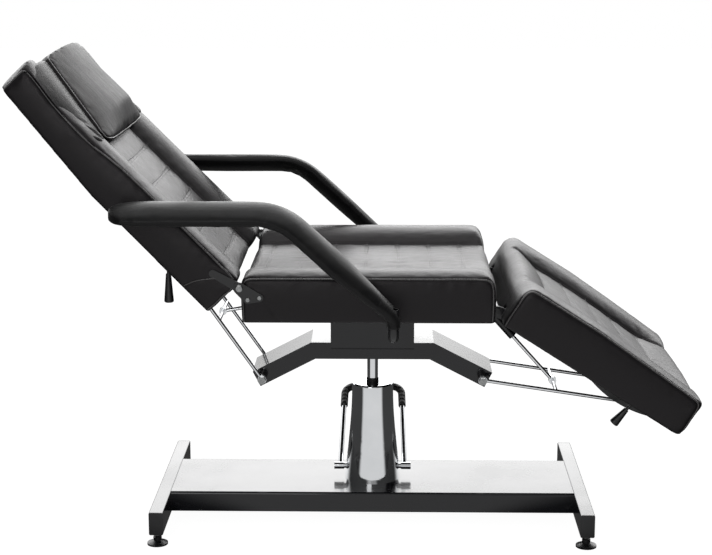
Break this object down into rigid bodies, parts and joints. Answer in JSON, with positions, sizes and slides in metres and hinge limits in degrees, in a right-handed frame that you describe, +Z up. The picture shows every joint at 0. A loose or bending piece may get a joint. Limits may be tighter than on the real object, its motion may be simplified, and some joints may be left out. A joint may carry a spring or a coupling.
{
  "type": "hydraulic beauty chair",
  "caption": "Hydraulic beauty chair with a reclining back, a folding leg rest and armrests on a pedal-pumped chrome column over an H-shaped base.",
  "frame": {"origin": "centre of the overall box at floor level", "axes": "+X to the foot end, +Y to the far side, +Z up"},
  "size_m": [1.427, 0.802, 1.0485],
  "materials": {
    "black_gloss_paint": "glossy black paint on steel",
    "bright_chrome": "polished chrome plate",
    "black_steel": "black paint on steel rod and sheet",
    "zinc_fasteners": "zinc-plated steel",
    "black_vinyl": "soft semi-gloss black upholstery vinyl",
    "board_cloth": "plywood under dark lining cloth",
    "black_rubber": "moulded black rubber",
    "black_plastic": "moulded black plastic",
    "arm_foam": "self-skinned black foam"
  },
  "bodies": {
    "base": {"base_leg_head": "black_gloss_paint", "base_leg_foot": "black_gloss_paint", "leg_end_caps": "black_plastic", "base_platform": "black_gloss_paint", "foot_locknuts": "zinc_fasteners", "pump_body": "black_steel", "pump_cover": "bright_chrome", "wiper_collar": "black_rubber"},
    "foot_head_near": {"levelling_foot_head_near": "black_plastic"},
    "foot_head_far": {"levelling_foot_head_far": "black_plastic"},
    "foot_foot_near": {"levelling_foot_foot_near": "black_plastic"},
    "foot_foot_far": {"levelling_foot_foot_far": "black_plastic"},
    "pedal": {"pedal_shaft": "bright_chrome", "pedal_bail": "bright_chrome", "pedal_sleeve": "black_rubber"},
    "lift": {"piston_rod": "bright_chrome"},
    "seat": {"swivel_hub": "black_steel", "gull_wing_beam": "black_gloss_paint", "saddle_bracket": "black_gloss_paint", "seat_rails": "black_steel", "seat_board": "board_cloth", "seat_cushion": "black_vinyl", "seat_hinge_plates": "black_steel", "back_hinge_bolts": "zinc_fasteners", "hinge_screws": "zinc_fasteners", "pivot_shafts": "zinc_fasteners", "pivot_spacers": "black_steel", "pivot_nuts": "zinc_fasteners", "arm_sockets": "black_gloss_paint", "arm_clamp_screws": "zinc_fasteners", "strut_brackets": "black_steel", "leg_hinge_ears": "black_steel"},
    "backrest": {"back_board": "board_cloth", "back_cushion": "black_vinyl", "headrest_pillow": "black_vinyl", "back_hinge_arms": "black_steel", "back_lock_brackets": "black_steel", "back_lever_bracket": "black_steel"},
    "back_lever": {"back_lever_stem": "black_steel", "back_lever_grip": "black_plastic"},
    "back_stays": {"back_stay_rods": "bright_chrome", "back_stay_crossbar": "bright_chrome"},
    "back_tubes": {"back_lock_tubes": "black_steel"},
    "back_block": {"back_strut_block": "black_steel"},
    "back_strut": {"back_strut_rod": "bright_chrome"},
    "leg_rest": {"leg_board": "board_cloth", "leg_cushion": "black_vinyl", "leg_hinge_straps": "black_steel", "leg_guide_plates": "black_steel", "leg_lever_bracket": "black_steel"},
    "leg_lever": {"leg_lever_stem": "black_steel", "leg_lever_grip": "black_plastic"},
    "leg_stays": {"leg_stay_rods": "bright_chrome", "leg_stay_crossbar": "bright_chrome"},
    "leg_cylinder": {"leg_strut_cylinder": "black_steel"},
    "leg_strut": {"leg_strut_rod": "bright_chrome"},
    "arm_near": {"arm_tube_near": "black_steel", "armrest_pad_near": "arm_foam"},
    "arm_far": {"arm_tube_far": "black_steel", "armrest_pad_far": "arm_foam"}
  },
  "joints": [
    {"name": "level_head_near", "type": "slide", "parent": "base", "child": "foot_head_near", "axis": [0, 0, -1], "range_m": [0, 0.01]},
    {"name": "level_head_far", "type": "slide", "parent": "base", "child": "foot_head_far", "axis": [0, 0, -1], "range_m": [0, 0.01]},
    {"name": "level_foot_near", "type": "slide", "parent": "base", "child": "foot_foot_near", "axis": [0, 0, -1], "range_m": [0, 0.01]},
    {"name": "level_foot_far", "type": "slide", "parent": "base", "child": "foot_foot_far", "axis": [0, 0, -1], "range_m": [0, 0.01]},
    {"name": "pedal_press", "type": "hinge", "parent": "base", "child": "pedal", "pos_m": [0.026, 0, 0.101], "axis": [1, 0, 0], "range_deg": [-25, 0], "stiffness_Nm_per_rad": 5, "springref_deg": 20.05},
    {"name": "lift", "type": "slide", "parent": "base", "child": "lift", "axis": [0, 0, 1], "range_m": [-0.05, 0.09]},
    {"name": "swivel", "type": "hinge", "parent": "lift", "child": "seat", "pos_m": [0.026, 0, 0.38], "axis": [0, 0, 1], "continuous": true},
    {"name": "back_recline", "type": "hinge", "parent": "seat", "child": "backrest", "pos_m": [-0.242, 0, 0.575], "axis": [0, 1, 0], "range_deg": [-46.1, 25]},
    {"name": "back_stays_turn", "type": "hinge", "parent": "seat", "child": "back_stays", "pos_m": [-0.21401, 0, 0.32621], "axis": [0, 1, 0], "range_deg": [-23.1, 12.6]},
    {"name": "back_tubes_turn", "type": "hinge", "parent": "backrest", "child": "back_tubes", "pos_m": [-0.46543, 0, 0.68795], "axis": [0, 1, 0], "range_deg": [-12.6, 23.1]},
    {"name": "back_block_turn", "type": "hinge", "parent": "seat", "child": "back_block", "pos_m": [-0.17314, 0, 0.4809], "axis": [0, 1, 0], "range_deg": [-11.6, 6.3]},
    {"name": "back_strut_turn", "type": "hinge", "parent": "back_stays", "child": "back_strut", "pos_m": [-0.30533, 0, 0.45759], "axis": [0, 1, 0], "range_deg": [-6.3, 11.6]},
    {"name": "leg_raise", "type": "hinge", "parent": "seat", "child": "leg_rest", "pos_m": [0.286, 0, 0.507], "axis": [0, 1, 0], "range_deg": [-32.6, 9.4]},
    {"name": "leg_stays_turn", "type": "hinge", "parent": "seat", "child": "leg_stays", "pos_m": [0.26601, 0, 0.32621], "axis": [0, 1, 0], "range_deg": [-37.5, 10.9]},
    {"name": "leg_cylinder_turn", "type": "hinge", "parent": "seat", "child": "leg_cylinder", "pos_m": [0.26008, 0, 0.4881], "axis": [0, 1, 0], "range_deg": [-18.8, 5.5]},
    {"name": "leg_strut_turn", "type": "hinge", "parent": "leg_stays", "child": "leg_strut", "pos_m": [0.42623, 0, 0.30227], "axis": [0, 1, 0], "range_deg": [-5.5, 18.8]},
    {"name": "back_lever_pull", "type": "hinge", "parent": "backrest", "child": "back_lever", "pos_m": [-0.4036, -0.16, 0.63044], "axis": [0, 1, 0], "range_deg": [0, 12], "stiffness_Nm_per_rad": 1, "springref_deg": -17.19},
    {"name": "leg_lever_pull", "type": "hinge", "parent": "leg_rest", "child": "leg_lever", "pos_m": [0.59649, -0.16, 0.31318], "axis": [0, 1, 0], "range_deg": [-12, 0], "stiffness_Nm_per_rad": 1, "springref_deg": 17.19},
    {"name": "arm_slide_near", "type": "slide", "parent": "seat", "child": "arm_near", "axis": [0, -1, 0], "range_m": [0, 0.05]},
    {"name": "arm_slide_far", "type": "slide", "parent": "seat", "child": "arm_far", "axis": [0, 1, 0], "range_m": [0, 0.05]}
  ],
  "couplings": [
    {"joint": "back_stays_turn", "follows": "back_recline", "ratio": 0.5},
    {"joint": "back_tubes_turn", "follows": "back_recline", "ratio": -0.5},
    {"joint": "back_block_turn", "follows": "back_recline", "ratio": 0.25},
    {"joint": "back_strut_turn", "follows": "back_recline", "ratio": -0.25},
    {"joint": "leg_stays_turn", "follows": "leg_raise", "ratio": 1.15},
    {"joint": "leg_cylinder_turn", "follows": "leg_raise", "ratio": 0.575},
    {"joint": "leg_strut_turn", "follows": "leg_raise", "ratio": -0.575}
  ]
}
